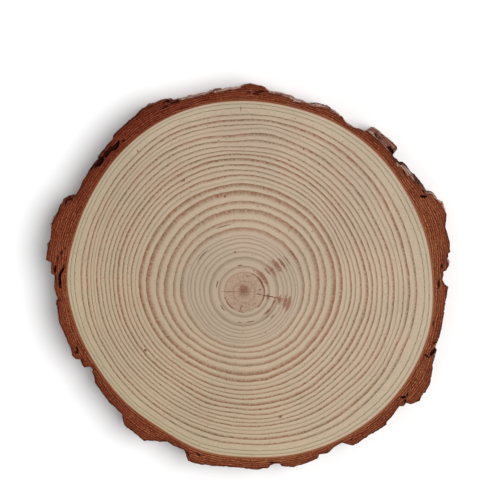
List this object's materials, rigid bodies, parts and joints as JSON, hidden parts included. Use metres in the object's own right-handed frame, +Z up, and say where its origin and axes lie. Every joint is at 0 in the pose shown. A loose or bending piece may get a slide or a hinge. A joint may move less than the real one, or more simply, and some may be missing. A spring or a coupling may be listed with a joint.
{
  "type": "wood slice",
  "caption": "Round slice sawn across a pine trunk, with flat sanded faces that show growth rings and an uneven ring of flaking bark.",
  "frame": {"origin": "middle of the slice's box, on the flat base that it rests on", "axes": "+Z up through the slice's thickness, square to both sawn faces; +X along its widest direction"},
  "size_m": [0.1096, 0.105, 0.01],
  "materials": {
    "wood": "sanded pale softwood, unvarnished, with darker growth rings",
    "bark": "rough red-brown bark in thin layers, matt"
  },
  "bodies": {
    "root": {"wood": "wood", "bark": "bark"}
  },
  "joints": []
}
